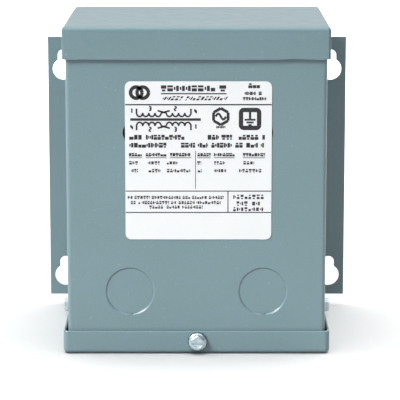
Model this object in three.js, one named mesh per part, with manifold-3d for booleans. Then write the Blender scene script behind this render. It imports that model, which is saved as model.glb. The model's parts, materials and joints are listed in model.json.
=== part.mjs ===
// Wall-mounted dry-type transformer in a rainproof sheet-steel enclosure, as an assembly of its real pieces.
// Millimetres. +Z is up, the front faces -Y, and the wall is at the far +Y side. The origin lies under the
// middle of the whole object, on the surface that it stands on.
import * as THREE from "three";
import { mergeVertices } from "three/addons/utils/BufferGeometryUtils.js";
import Module from "manifold-3d";

const wasm = await Module();
wasm.setup();

// ---------------------------------------------------------------------------------------------------------
// Driving dimensions
// ---------------------------------------------------------------------------------------------------------
const inch = 25.4;

const sheet = 1.5; // thickness of every sheet-steel piece
const bend = 2.4; // outer radius of a bend in the sheet
const gap = 0.3; // clearance between pieces that touch
const bearing = 0.1; // clearance between faces that press together
const past = 1; // how far a cutting tool reaches past a face

const enclosureDepth = 130; // from the front face of the lips to the wall
const screwProud = 4.9; // how far the cover screw stands out of the front lip
const overallHeight = 195.3;

const caseWidth = 153;
const caseBottom = 2.6; // the case walls stop just above the bend of the bottom cover
const rearFlange = 12; // width of the case's two rear flanges

const capLipHeight = 19.1;
const capSideGap = 0.4; // between a side lip of the cap and the case
const lipClearance = 0.5; // between the front lips and the case

const plateWidth = 191.5;
const plateBottom = 6.8;
const plateTop = 175.9;

const keyholeSpacing = 171.7;
const keyholeTopZ = 155.1; // centres of the round parts
const keyholeBottomZ = 19.6;
const keyholeRadius = 6.9;
const keyholeSlotHalf = 3.6;
const keyholeRise = 8.9; // from the centre of the round part to the centre of the slot's end

const coverWidth = 158.6;
const coverLipHeight = 14;
const coverRearLip = 6.4;
const coverCorner = 3.2; // plan radius of the cover's corners
const coverBend = 2.7; // radius between the cover's floor and its lips
const drainRadius = 2.5;
const drainX = 55;
const drainInset = 14; // from the front lip

const knockoutRadius = 14.1; // hole for a 3/4 inch conduit fitting
const knockoutX = 39.45;
const knockoutZ = 37.7;

const pourHoleRadius = 6.25; // the compound is poured through these
const pourHoleSpacing = 75.5;
const pourHoleShift = 0.9;
const pourHoleZ = 133;

const label = { left: -41.8, right: 44.2, bottom: 69.3, top: 163.4, corner: 3.5, thickness: 0.3 };

const screwZ = 7.6; // height of the three cover screws
const coverScrewX = 0.7;
const sideScrewFromLip = 95; // how far behind the front lip the side screws are
const shankRadius = 2.3; // No. 10 machine screw
const shankHole = 2.8;
const acrossFlats = 7.9; // 5/16 inch hexagon

const compoundBottom = 64; // ceiling of the wiring compartment
const compoundTop = 190;

// EI lamination with a 1.5 inch centre leg
const centreLeg = 1.5 * inch;
const coreWidth = 3 * centreLeg;
const coreHeight = 2.5 * centreLeg;
const stackDepth = 2.5 * inch;
const yoke = centreLeg / 2;
const windowWidth = centreLeg / 2;
const coreZ = 128.7;

const leadRadius = 1.6;
const leadBend = 8;
const leadPitch = 4.2; // between neighbouring leads where they run side by side
const leadFromStack = 8.5; // how far behind the core stack the leads come down

// ---------------------------------------------------------------------------------------------------------
// Places worked out from them
// ---------------------------------------------------------------------------------------------------------
const wallY = (enclosureDepth + screwProud) / 2;
const lipY = wallY - enclosureDepth; // front face of the cap's and cover's lips
const caseFrontY = lipY + sheet + lipClearance;
const plateFrontY = wallY - sheet;
const caseRearY = plateFrontY - gap;
const caseHalf = caseWidth / 2;
const coverHalf = coverWidth / 2;
const capHalf = caseHalf + capSideGap + sheet;
const capBottom = overallHeight - capLipHeight;
const caseTop = overallHeight - sheet - gap;
const compoundFrontY = caseFrontY + sheet + gap;
const compoundRearY = caseRearY - sheet - gap;
const coreY = (compoundFrontY + compoundRearY) / 2;
const sideScrewY = lipY + sideScrewFromLip;
const pourHoles = [pourHoleShift - pourHoleSpacing / 2, pourHoleShift + pourHoleSpacing / 2];
const coreBolts = [-1, 1].flatMap((sx) =>
  [-1, 1].map((sz) => [sx * (coreWidth - yoke) / 2, coreZ + (sz * (coreHeight - yoke)) / 2]),
);

// ---------------------------------------------------------------------------------------------------------
// Solids
// ---------------------------------------------------------------------------------------------------------
const right = new THREE.Vector3(1, 0, 0);
const back = new THREE.Vector3(0, 1, 0);
const up = new THREE.Vector3(0, 0, 1);
const front = back.clone().negate();
const left = right.clone().negate();

function toSolid(geometry) {
  const bare = geometry.clone();
  bare.deleteAttribute("normal");
  bare.deleteAttribute("uv");
  const merged = mergeVertices(bare, 1e-4);
  return new wasm.Manifold(
    new wasm.Mesh({
      numProp: 3,
      vertProperties: merged.attributes.position.array,
      triVerts: new Uint32Array(merged.index.array),
    }),
  );
}

function toGeometry(solid) {
  const { vertProperties, triVerts } = solid.getMesh();
  const indexed = new THREE.BufferGeometry();
  indexed.setAttribute("position", new THREE.BufferAttribute(vertProperties, 3));
  indexed.setIndex(new THREE.BufferAttribute(triVerts, 1));
  const geometry = indexed.toNonIndexed();
  geometry.computeVertexNormals();
  return geometry;
}

const join = (solids) => solids.reduce((all, next) => all.add(next));
const cut = (solid, tools) => tools.reduce((rest, tool) => rest.subtract(tool), solid);

function box([x0, x1], [y0, y1], [z0, z1]) {
  const geometry = new THREE.BoxGeometry(x1 - x0, y1 - y0, z1 - z0);
  return toSolid(geometry.translate((x0 + x1) / 2, (y0 + y1) / 2, (z0 + z1) / 2));
}

// A cylinder along direction, from a point on its axis.
function rod(from, direction, radius, length, sides = 24) {
  const geometry = new THREE.CylinderGeometry(radius, radius, length, sides);
  geometry.translate(0, length / 2, 0);
  geometry.applyQuaternion(new THREE.Quaternion().setFromUnitVectors(back, direction));
  return toSolid(geometry.translate(...from));
}

// Extrudes a shape drawn in the two axes across the direction: (y, z) along x, (x, z) along y, (x, y) along z.
function extrude(shape, axis, from, to, curveSegments = 8) {
  const geometry = new THREE.ExtrudeGeometry(shape, { depth: to - from, bevelEnabled: false, curveSegments });
  const basis = { x: [back, up, right], y: [right, up, front], z: [right, back, up] }[axis];
  geometry.applyMatrix4(new THREE.Matrix4().makeBasis(...basis));
  const start = { x: [from, 0, 0], y: [0, to, 0], z: [0, 0, from] }[axis];
  return toSolid(geometry.translate(...start));
}

function roundedRectangle(x0, x1, y0, y1, radius) {
  const shape = new THREE.Shape();
  shape.absarc(x1 - radius, y0 + radius, radius, -Math.PI / 2, 0);
  shape.absarc(x1 - radius, y1 - radius, radius, 0, Math.PI / 2);
  shape.absarc(x0 + radius, y1 - radius, radius, Math.PI / 2, Math.PI);
  shape.absarc(x0 + radius, y0 + radius, radius, Math.PI, 1.5 * Math.PI);
  return shape.closePath();
}

// The points of a line that turns left at each inner corner on an arc.
function roundedLine(corners, radius, steps = 4) {
  const points = [corners[0]];
  for (let i = 1; i < corners.length - 1; i++) {
    const arriving = corners[i].clone().sub(corners[i - 1]).normalize();
    const leaving = corners[i + 1].clone().sub(corners[i]).normalize();
    const turn = Math.acos(arriving.dot(leaving));
    const start = corners[i].clone().addScaledVector(arriving, -radius * Math.tan(turn / 2));
    const centre = new THREE.Vector2(-arriving.y, arriving.x).multiplyScalar(radius).add(start);
    for (let k = 0; k <= steps; k++) points.push(start.clone().rotateAround(centre, (turn * k) / steps));
  }
  return [...points, corners.at(-1)];
}

// The section of a bent strip of sheet. Its outer face runs through the corners, and the metal is on its left.
function bentSheet(corners) {
  const outer = corners.map(([x, y]) => new THREE.Vector2(x, y));
  const sides = outer.slice(1).map((end, i) => end.clone().sub(outer[i]).normalize());
  const inner = outer.map((corner, i) => {
    const before = sides[Math.max(i - 1, 0)];
    const after = sides[Math.min(i, sides.length - 1)];
    const inward = new THREE.Vector2(-before.y - after.y, before.x + after.x);
    return inward.multiplyScalar(sheet / (1 + before.dot(after))).add(corner);
  });
  return new THREE.Shape([...roundedLine(outer, bend), ...roundedLine(inner, bend - sheet).reverse()]);
}

// A block with rounded upright corners and a rounded lower edge, cut level at its top.
function roundedBlock(halfWidth, y0, y1, z0, z1, corner, edge) {
  const geometry = new THREE.ExtrudeGeometry(roundedRectangle(-halfWidth, halfWidth, y0, y1, corner), {
    depth: z1 - z0,
    bevelThickness: edge,
    bevelSize: edge,
    bevelOffset: -edge,
    bevelSegments: 3,
    curveSegments: 3,
  });
  const block = toSolid(geometry.translate(0, 0, z0 + edge));
  const above = [z1, z1 + 2 * edge + past];
  return block.subtract(box([-halfWidth - past, halfWidth + past], [y0 - past, y1 + past], above));
}

// ---------------------------------------------------------------------------------------------------------
// Materials and the scene graph
// ---------------------------------------------------------------------------------------------------------
const paint = { color: 0x7b949a, roughness: 0.42, metalness: 0.25 };
const zinc = { color: 0xbfc3c4, roughness: 0.28, metalness: 0.9 };
const bareSteel = { color: 0x8d9194, roughness: 0.5, metalness: 0.8 };
const electricalSteel = { color: 0x5d6164, roughness: 0.55, metalness: 0.7 };
const copperWire = { color: 0xa4552a, roughness: 0.35, metalness: 0.7 };
const insulationPaper = { color: 0xc9b48a, roughness: 0.9, metalness: 0 };
const nylon = { color: 0x33312e, roughness: 0.5, metalness: 0 };
const castCompound = { color: 0x2e2d2b, roughness: 0.85, metalness: 0 };
const labelFoil = { color: 0xe9eae6, roughness: 0.45, metalness: 0.1 };
const groundGreen = { color: 0x2f7d43, roughness: 0.4, metalness: 0.3 };
const primaryLead = { color: 0x23242a, roughness: 0.45, metalness: 0 };
const secondaryLead = { color: 0xb9b4a6, roughness: 0.45, metalness: 0 };

const transformer = new THREE.Group();

function addPiece(name, geometry, finish, place = [0, 0, 0], direction = up) {
  const mesh = new THREE.Mesh(geometry, new THREE.MeshStandardMaterial(finish));
  mesh.name = name;
  mesh.position.set(...place);
  mesh.quaternion.setFromUnitVectors(up, direction);
  transformer.add(mesh);
}

const addSolid = (name, solid, finish) => addPiece(name, toGeometry(solid), finish);

// ---------------------------------------------------------------------------------------------------------
// Enclosure
// ---------------------------------------------------------------------------------------------------------

// The slot that passes over the cover screw, open at the bottom edge of the case.
function screwNotch() {
  const y = caseFrontY - past;
  const depth = sheet + 2 * past;
  const straight = [coverScrewX - shankHole, coverScrewX + shankHole];
  return box(straight, [y, y + depth], [0, screwZ]).add(rod([coverScrewX, y, screwZ], back, shankHole, depth));
}

function caseShell() {
  const tip = caseHalf - rearFlange;
  const section = bentSheet([
    [-tip, caseRearY],
    [-caseHalf, caseRearY],
    [-caseHalf, caseFrontY],
    [caseHalf, caseFrontY],
    [caseHalf, caseRearY],
    [tip, caseRearY],
  ]);
  const throughFront = (x, z, radius, sides) =>
    rod([x, caseFrontY - past, z], back, radius, sheet + 2 * past, sides);
  return cut(extrude(section, "z", caseBottom, caseTop), [
    ...[-1, 1].map((side) => throughFront(side * knockoutX, knockoutZ, knockoutRadius, 40)),
    ...pourHoles.map((x) => throughFront(x, pourHoleZ, pourHoleRadius, 28)),
    screwNotch(),
    rod([-caseHalf - past, sideScrewY, screwZ], right, shankHole, caseWidth + 2 * past),
  ]);
}

// The rain hood: one sheet with a front and a rear lip folded down between two side lips.
function cap() {
  const alongDepth = bentSheet([
    [wallY, capBottom],
    [wallY, overallHeight],
    [lipY, overallHeight],
    [lipY, capBottom],
  ]);
  const acrossWidth = bentSheet([
    [capHalf, capBottom],
    [capHalf, overallHeight],
    [-capHalf, overallHeight],
    [-capHalf, capBottom],
  ]);
  const sideLip = (side) => {
    const faces = [side * capHalf, side * (capHalf - sheet)].sort((a, b) => a - b);
    return box(faces, [lipY, wallY], [capBottom, overallHeight - bend]);
  };
  return join([
    extrude(alongDepth, "x", -caseHalf, caseHalf),
    extrude(acrossWidth, "y", lipY + bend, wallY - bend),
    sideLip(-1),
    sideLip(1),
  ]);
}

// A hanging hole: the screw head passes the round part, then the plate drops until the slot holds the shank.
function keyhole(x, z) {
  const y = plateFrontY - past;
  const depth = sheet + 2 * past;
  const slotEnd = z + keyholeRise;
  return join([
    rod([x, y, z], back, keyholeRadius, depth, 28),
    rod([x, y, slotEnd], back, keyholeSlotHalf, depth, 20),
    box([x - keyholeSlotHalf, x + keyholeSlotHalf], [y, y + depth], [z, slotEnd]),
  ]);
}

function backPlate() {
  const plate = box([-plateWidth / 2, plateWidth / 2], [plateFrontY, wallY], [plateBottom, plateTop]);
  const holes = [-1, 1].flatMap((side) =>
    [keyholeBottomZ, keyholeTopZ].map((z) => keyhole((side * keyholeSpacing) / 2, z)),
  );
  return cut(plate, holes);
}

// The wiring compartment's floor: a shallow pan whose side lips are slotted from above for the side screws.
function bottomCover() {
  const outer = roundedBlock(coverHalf, lipY, wallY, 0, coverLipHeight, coverCorner, coverBend);
  const inner = roundedBlock(
    coverHalf - sheet,
    lipY + sheet,
    wallY - sheet,
    sheet,
    coverLipHeight + past,
    coverCorner - sheet,
    coverBend - sheet,
  );
  const beyond = coverHalf + past;
  const slotY = [sideScrewY - shankHole, sideScrewY + shankHole];
  return cut(outer, [
    inner,
    box([-beyond, beyond], [caseRearY - bearing, wallY + past], [coverRearLip, coverLipHeight + past]),
    rod([coverScrewX, lipY - past, screwZ], back, shankHole, sheet + 2 * past),
    rod([-beyond, sideScrewY, screwZ], right, shankHole, 2 * beyond),
    ...[-1, 1].map((side) => {
      const faces = [side * (coverHalf - sheet - past), side * beyond].sort((a, b) => a - b);
      return box(faces, slotY, [screwZ, coverLipHeight + past]);
    }),
    ...[-1, 1].map((side) => rod([side * drainX, lipY + drainInset, -past], up, drainRadius, sheet + 2 * past)),
  ]);
}

function knockoutSlug(side) {
  return rod([side * knockoutX, caseFrontY, knockoutZ], back, knockoutRadius - gap, sheet, 40);
}

function nameplate() {
  const outline = roundedRectangle(label.left, label.right, label.bottom, label.top, label.corner);
  const backing = caseFrontY - bearing;
  return extrude(outline, "y", backing - label.thickness, backing);
}

addSolid("case_shell", caseShell(), paint);
addSolid("rain_cap", cap(), paint);
addSolid("back_plate", backPlate(), paint);
addSolid("bottom_cover", bottomCover(), paint);
addSolid("knockout_left", knockoutSlug(-1), paint);
addSolid("knockout_right", knockoutSlug(1), paint);
addSolid("nameplate", nameplate(), labelFoil);

// ---------------------------------------------------------------------------------------------------------
// Fasteners. Each is made along +Z from the plane that it bears on, and its head points that way.
// ---------------------------------------------------------------------------------------------------------
const headHeight = 3.9;
const driverSlot = { width: 1.3, depth: 1.3 };
const lockWasher = { radius: 4.2, thickness: 1.1, slit: 0.9 };
const toothWasher = { radius: 5.9, root: 4.7, thickness: 0.7, teeth: 14 };
const screwFlange = { flangeRadius: 5.25, flangeHeight: 1 };
const coverShank = 12;
const groundShank = 10;
const nutBar = { half: 9, thickness: 2.5, bottom: 2.4, top: 12.8 };
const clinchNut = { radius: 4.6, height: 3.4 };
const groundNutHeight = 3.2;
const shankEnd = 1; // chamfer on a shank's end, and the stretch of shank inside the head

// A slotted hexagon head, with a flange under it where flangeRadius is given, on a shank with a chamfered end.
function hexScrew({ shankLength, head = headHeight, flangeRadius = 0, flangeHeight = 0 }) {
  const shank = new THREE.LatheGeometry(
    [
      new THREE.Vector2(0, -shankLength),
      new THREE.Vector2(shankRadius - shankEnd, -shankLength),
      new THREE.Vector2(shankRadius, shankEnd - shankLength),
      new THREE.Vector2(shankRadius, shankEnd),
      new THREE.Vector2(0, shankEnd),
    ],
    20,
  );
  shank.rotateX(Math.PI / 2);
  const hexagon = rod([0, 0, 0], up, acrossFlats / Math.sqrt(3), head, 6);
  const parts = [toSolid(shank), hexagon];
  if (flangeRadius) parts.push(rod([0, 0, 0], up, flangeRadius, flangeHeight, 32));
  const halfSlot = driverSlot.width / 2;
  const slot = box([-acrossFlats, acrossFlats], [-halfSlot, halfSlot], [head - driverSlot.depth, head + past]);
  return toGeometry(join(parts).subtract(slot));
}

function splitWasher() {
  const { radius, thickness, slit } = lockWasher;
  const ring = rod([0, 0, 0], up, radius, thickness, 28);
  const slot = box([shankRadius, radius + past], [-slit / 2, slit / 2], [-past, thickness + past]);
  return toGeometry(cut(ring, [rod([0, 0, -past], up, shankHole, thickness + 2 * past), slot]));
}

function externalToothWasher() {
  const { radius, root, thickness, teeth } = toothWasher;
  const rim = [];
  for (let i = 0; i < teeth; i++) {
    for (const [share, r] of [[0, root], [0.2, radius], [0.6, radius], [0.8, root]]) {
      const angle = ((i + share) / teeth) * 2 * Math.PI;
      rim.push(new THREE.Vector2(r * Math.cos(angle), r * Math.sin(angle)));
    }
  }
  const disc = extrude(new THREE.Shape(rim), "z", 0, thickness);
  return toGeometry(disc.subtract(rod([0, 0, -past], up, shankHole, thickness + 2 * past)));
}

function roundNut({ radius, height }) {
  const body = rod([0, 0, 0], up, radius, height, 24);
  return toGeometry(body.subtract(rod([0, 0, -past], up, shankHole, height + 2 * past)));
}

function hexNut(height) {
  const body = rod([0, 0, 0], up, acrossFlats / Math.sqrt(3), height, 6);
  return toGeometry(body.subtract(rod([0, 0, -past], up, shankRadius + gap / 2, height + 2 * past)));
}

// Cover screw: tooth washer against the front lip, flanged head on it, and a nut plate behind the case wall.
const coverWasherY = lipY - bearing;
const coverScrewY = coverWasherY - toothWasher.thickness - bearing;
const coverHead = screwProud - toothWasher.thickness - 2 * bearing;
addPiece("cover_washer", externalToothWasher(), zinc, [coverScrewX, coverWasherY, screwZ], front);
addPiece(
  "cover_screw",
  hexScrew({ shankLength: coverShank, head: coverHead, ...screwFlange }),
  zinc,
  [coverScrewX, coverScrewY, screwZ],
  front,
);

function nutPlate() {
  const { half, thickness, bottom, top } = nutBar;
  const y0 = caseFrontY + sheet + gap;
  const plate = box([coverScrewX - half, coverScrewX + half], [y0, y0 + thickness], [bottom, top]);
  return plate.subtract(rod([coverScrewX, y0 - past, screwZ], back, shankHole, thickness + 2 * past));
}
addSolid("cover_nut_plate", nutPlate(), zinc);

// Side screws: each grips a slotted side lip of the cover against the case, in a nut clinched into the case.
for (const [name, side, outward] of [["left", -1, left], ["right", 1, right]]) {
  const washerX = coverHalf + bearing;
  const screwX = washerX + lockWasher.thickness + bearing;
  const nutX = caseHalf - sheet - gap - clinchNut.height;
  addPiece(`side_washer_${name}`, splitWasher(), zinc, [side * washerX, sideScrewY, screwZ], outward);
  addPiece(
    `side_screw_${name}`,
    hexScrew({ shankLength: coverShank }),
    zinc,
    [side * screwX, sideScrewY, screwZ],
    outward,
  );
  addPiece(`side_nut_${name}`, roundNut(clinchNut), zinc, [side * nutX, sideScrewY, screwZ], outward);
}

// Equipment ground: a tab on the back plate, inside the wiring compartment, with a green screw.
const groundTab = { half: 9, top: 40, reach: 19, foot: 16 };
const groundY = caseRearY - groundTab.reach / 2 - 1; // clear of the tab's bend

function groundBracket() {
  const { half, top, reach, foot } = groundTab;
  const profile = bentSheet([
    [caseRearY, top - foot],
    [caseRearY, top],
    [caseRearY - reach, top],
  ]);
  const hole = rod([0, groundY, top - sheet - past], up, shankHole, sheet + 2 * past);
  return extrude(profile, "x", -half, half).subtract(hole);
}
addSolid("ground_bracket", groundBracket(), zinc);

const groundWasherZ = groundTab.top + bearing;
const groundScrewZ = groundWasherZ + lockWasher.thickness + bearing;
addPiece("ground_washer", splitWasher(), zinc, [0, groundY, groundWasherZ]);
addPiece(
  "ground_screw",
  hexScrew({ shankLength: groundShank, ...screwFlange }),
  groundGreen,
  [0, groundY, groundScrewZ],
);
const groundNutZ = groundTab.top - sheet - gap - groundNutHeight;
addPiece("ground_nut", hexNut(groundNutHeight), zinc, [0, groundY, groundNutZ]);

// ---------------------------------------------------------------------------------------------------------
// Core and coil
// ---------------------------------------------------------------------------------------------------------
const coreFrontY = coreY - stackDepth / 2;
const coreBackY = coreY + stackDepth / 2;
const coreTop = coreZ + coreHeight / 2;
const coreBottom = coreZ - coreHeight / 2;
const boltRadius = 2.4;
const boltHole = 2.8;
const boltHead = 3.5;

const boltHolesThroughCore = () =>
  coreBolts.map(([x, z]) => rod([x, coreFrontY - past, z], back, boltHole, stackDepth + 2 * past, 20));

// The E pieces, with their yoke at the top.
function coreE() {
  const depth = [coreFrontY, coreBackY];
  const block = box([-coreWidth / 2, coreWidth / 2], depth, [coreBottom + yoke + gap, coreTop]);
  const windows = [-1, 1].map((side) => {
    const middle = (side * (centreLeg + windowWidth)) / 2;
    const width = [middle - windowWidth / 2, middle + windowWidth / 2];
    return box(width, [coreFrontY - past, coreBackY + past], [coreBottom, coreTop - yoke]);
  });
  return cut(block, [...windows, ...boltHolesThroughCore()]);
}

function coreI() {
  const width = [-coreWidth / 2, coreWidth / 2];
  const block = box(width, [coreFrontY, coreBackY], [coreBottom, coreBottom + yoke]);
  return cut(block, boltHolesThroughCore());
}

// A rectangular sleeve round the centre leg, between two distances from the leg's faces.
function sleeve(inner, outer, z0, z1) {
  const outline = (reach) => {
    const halfX = centreLeg / 2 + reach;
    const halfY = stackDepth / 2 + reach;
    return roundedRectangle(-halfX, halfX, coreY - halfY, coreY + halfY, Math.max(reach, 2 * gap));
  };
  const shape = outline(outer);
  shape.holes.push(outline(inner));
  return extrude(shape, "z", z0, z1, 4);
}

const windowBottom = coreBottom + yoke + gap;
const windowTop = coreTop - yoke;
const bobbinWall = 1.5;
const bobbinReach = 18; // from the leg's faces to the edges of the bobbin's flanges
const windingBottom = windowBottom + gap + bobbinWall + gap;
const windingTop = windowTop - gap - bobbinWall - gap;

function coilBobbin() {
  const low = windowBottom + gap;
  const high = windowTop - gap;
  return join([
    sleeve(gap, gap + bobbinWall, low, high),
    sleeve(gap, bobbinReach, low, low + bobbinWall),
    sleeve(gap, bobbinReach, high - bobbinWall, high),
  ]);
}

addSolid("core_e_stack", coreE(), electricalSteel);
addSolid("core_i_stack", coreI(), electricalSteel);
addSolid("coil_bobbin", coilBobbin(), nylon);

// The windings and their insulation, from the bobbin outwards.
let windingReach = gap + bobbinWall + gap;
for (const [name, thickness, finish] of [
  ["secondary_winding", 6.3, copperWire],
  ["winding_insulation", 0.8, insulationPaper],
  ["primary_winding", 6.4, copperWire],
  ["coil_wrap", 0.8, insulationPaper],
]) {
  addSolid(name, sleeve(windingReach, windingReach + thickness, windingBottom, windingTop), finish);
  windingReach += thickness + gap;
}

coreBolts.forEach(([x, z], i) => {
  const headY = coreFrontY - gap - boltHead;
  const length = shankEnd + 2 * gap + stackDepth + boltHead + shankEnd;
  const head = rod([x, headY, z], back, acrossFlats / Math.sqrt(3), boltHead, 6);
  const shank = rod([x, headY + boltHead - shankEnd, z], back, boltRadius, length, 16);
  addSolid(`core_bolt_${i + 1}`, head.add(shank), bareSteel);
  addPiece(`core_nut_${i + 1}`, hexNut(boltHead), bareSteel, [x, coreBackY + gap, z], back);
});

// ---------------------------------------------------------------------------------------------------------
// Leads: four from each winding, down through the compound and dressed round the rear of the compartment
// ---------------------------------------------------------------------------------------------------------
const leadY = coreY + stackDepth / 2 + leadFromStack;
const leadTop = windowBottom - gap;
const firstLeadX = 11.8;
const leadSpacing = 6.4;
const lowestRun = 14;
const farthestRun = 69;
const leadTips = [50, 47, 44, 41];

// Corners of one lead's route: down, outwards, and up beside the case wall. Lead 0 is nearest the middle.
function leadCorners(side, k) {
  const x = side * (firstLeadX + k * leadSpacing);
  const run = lowestRun + k * leadPitch;
  const far = side * (farthestRun - k * leadPitch);
  const tip = leadTips[k];
  return [[x, leadTop], [x, run], [far, run], [far, tip]].map(([px, pz]) => new THREE.Vector3(px, leadY, pz));
}

// A smooth path through the corners, each turned on an arc.
function leadPath(corners) {
  const path = new THREE.CurvePath();
  let from = corners[0];
  for (let i = 1; i < corners.length - 1; i++) {
    const arriving = corners[i].clone().sub(corners[i - 1]).normalize();
    const leaving = corners[i + 1].clone().sub(corners[i]).normalize();
    const start = corners[i].clone().addScaledVector(arriving, -leadBend);
    const end = corners[i].clone().addScaledVector(leaving, leadBend);
    const pull = leadBend * (4 / 3) * (Math.SQRT2 - 1); // a cubic with these handles is a quarter circle
    path.add(new THREE.LineCurve3(from, start));
    path.add(
      new THREE.CubicBezierCurve3(
        start,
        start.clone().addScaledVector(arriving, pull),
        end.clone().addScaledVector(leaving, -pull),
        end,
      ),
    );
    from = end;
  }
  path.add(new THREE.LineCurve3(from, corners.at(-1)));
  return path;
}

function leadGeometry(side, k) {
  const path = leadPath(leadCorners(side, k));
  const section = new THREE.Shape();
  const sides = 8;
  for (let i = 0; i < sides; i++) {
    const angle = (i / sides) * 2 * Math.PI;
    section[i ? "lineTo" : "moveTo"](leadRadius * Math.cos(angle), leadRadius * Math.sin(angle));
  }
  const steps = Math.round(path.getLength() / (2.5 * 2 * leadRadius));
  return new THREE.ExtrudeGeometry(section, { steps, extrudePath: path });
}

const leads = [];
for (const [letter, side, finish] of [["h", -1, primaryLead], ["x", 1, secondaryLead]]) {
  for (let k = 0; k < leadTips.length; k++) {
    const name = `lead_${letter}${k + 1}`;
    addPiece(name, leadGeometry(side, k), finish);
    leads.push([side, k]);
  }
}

// A nylon tie round the four leads of one winding, with its locking head on the front.
const tie = { x: 44, halfWidth: 1.8, strap: 1, headHalf: 2.6, headRise: 2.4 };

function leadTie(side) {
  const { halfWidth, strap, headHalf, headRise } = tie;
  const x = side * tie.x;
  const inside = leadRadius + gap;
  const low = lowestRun - inside;
  const high = lowestRun + (leadTips.length - 1) * leadPitch + inside;
  const loop = (grow) => {
    const reach = inside + grow;
    return roundedRectangle(leadY - reach, leadY + reach, low - grow, high + grow, reach - bearing);
  };
  const band = loop(strap);
  band.holes.push(loop(0));
  const middle = (low + high) / 2;
  const head = box(
    [x - headHalf, x + headHalf],
    [leadY - inside - strap - headRise, leadY - inside - strap / 2],
    [middle - headRise, middle + headRise],
  );
  return extrude(band, "x", x - halfWidth, x + halfWidth, 4).add(head);
}
addSolid("lead_tie_left", leadTie(-1), nylon);
addSolid("lead_tie_right", leadTie(1), nylon);

// ---------------------------------------------------------------------------------------------------------
// Cast compound: fills the case above the wiring compartment, round the core and coil
// ---------------------------------------------------------------------------------------------------------
function compound() {
  const half = caseHalf - sheet - gap;
  const plan = new THREE.Shape(
    [
      [-half + bend, compoundFrontY],
      [half - bend, compoundFrontY],
      [half, compoundFrontY + bend],
      [half, compoundRearY],
      [-half, compoundRearY],
      [-half, compoundFrontY + bend],
    ].map(([x, y]) => new THREE.Vector2(x, y)),
  );
  const spareX = coreWidth / 2 + gap;
  const coreSpace = box(
    [-spareX, spareX],
    [coreFrontY - gap, coreBackY + gap],
    [coreBottom - gap, coreTop + gap],
  );
  const reach = bobbinReach + gap;
  const coilSpace = box(
    [-centreLeg / 2 - reach, centreLeg / 2 + reach],
    [coreFrontY - reach, coreBackY + reach],
    [windowBottom, windowTop],
  );
  const boltSpaces = coreBolts.map(([x, z]) => {
    const start = coreFrontY - 2 * gap - boltHead;
    return rod([x, start, z], back, acrossFlats / Math.sqrt(3) + gap, stackDepth + 3 * boltHead, 16);
  });
  const leadHoles = leads.map(([side, k]) => {
    const [top] = leadCorners(side, k);
    const height = windowBottom - compoundBottom + 2 * past;
    return rod([top.x, leadY, compoundBottom - past], up, leadRadius + gap, height, 12);
  });
  return cut(extrude(plan, "z", compoundBottom, compoundTop), [
    coreSpace,
    coilSpace,
    ...boltSpaces,
    ...leadHoles,
  ]);
}
addSolid("cast_compound", compound(), castCompound);

export default transformer;
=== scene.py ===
"""Looks of the wall-mounted dry-type transformer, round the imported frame. Metres, +Z up, front to -Y."""
import json
import math
import random

import bmesh
import bpy
from mathutils import Matrix, Vector


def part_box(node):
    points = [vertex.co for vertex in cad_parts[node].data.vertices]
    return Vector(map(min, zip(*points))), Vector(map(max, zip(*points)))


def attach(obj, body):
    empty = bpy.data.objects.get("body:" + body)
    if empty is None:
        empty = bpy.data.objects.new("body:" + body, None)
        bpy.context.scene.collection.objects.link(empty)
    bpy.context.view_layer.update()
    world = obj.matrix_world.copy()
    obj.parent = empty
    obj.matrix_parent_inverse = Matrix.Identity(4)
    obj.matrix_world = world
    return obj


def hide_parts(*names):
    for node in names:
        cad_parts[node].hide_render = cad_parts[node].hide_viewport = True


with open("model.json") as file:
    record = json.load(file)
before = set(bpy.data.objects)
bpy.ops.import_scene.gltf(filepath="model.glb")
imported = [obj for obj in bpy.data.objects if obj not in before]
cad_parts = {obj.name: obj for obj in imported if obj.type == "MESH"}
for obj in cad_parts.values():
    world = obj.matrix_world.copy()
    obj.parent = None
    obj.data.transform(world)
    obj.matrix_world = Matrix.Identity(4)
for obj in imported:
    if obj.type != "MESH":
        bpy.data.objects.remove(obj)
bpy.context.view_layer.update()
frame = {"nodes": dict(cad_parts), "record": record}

MM = 0.001
FULL_TURN = 2 * math.pi
QUARTER = math.pi / 2

# Sizes that the frame doesn't give
BEND = 2.4 * MM  # outer radius of a bend in the sheet
EDGE = 0.22 * MM  # how far sheared edges of the sheet are rounded
RIM = 0.35 * MM  # rounding of a punched hole's rim
DISH = 0.6  # depth of a dished rim for its width
SHANK_HOLE = 2.8 * MM  # radius
SHANK = 2.3 * MM  # radius
ACROSS_FLATS = 7.9 * MM
HEX_CORNER = ACROSS_FLATS / math.sqrt(3)
HEAD = 3.9 * MM  # height of a side or ground screw's head
CASE_SHANK = 12 * MM  # length of the cover and side screws
GROUND_SHANK = 10 * MM
CLINCH_NUT = 4.6 * MM  # radius
THREAD_DEPTH = 0.5 * MM
FLANGE = 5.25 * MM  # radius of a flanged head
BEARING_GAP = 0.1 * MM  # between a washer's CAD box and the head
THREAD_PITCH = 1.058 * MM
SLOT = 1.3 * MM  # width and depth of a screwdriver slot
LEAD_RADIUS = 1.6 * MM


# --- Camera, floor and light ---
def add_object(name, data):
    made = bpy.data.objects.new(name, data)
    bpy.context.scene.collection.objects.link(made)
    return made


def make_camera():
    camera = add_object("camera", bpy.data.cameras.new("camera"))
    camera.location = (0.0036, -1.27697, 0.32036)
    camera.rotation_euler = (math.radians(90 - 10.587), 0, math.radians(0.07))
    camera.data.sensor_width = 36
    camera.data.lens = 189
    camera.data.clip_start = 0.05
    camera.data.clip_end = 60
    bpy.context.scene.camera = camera


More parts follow.
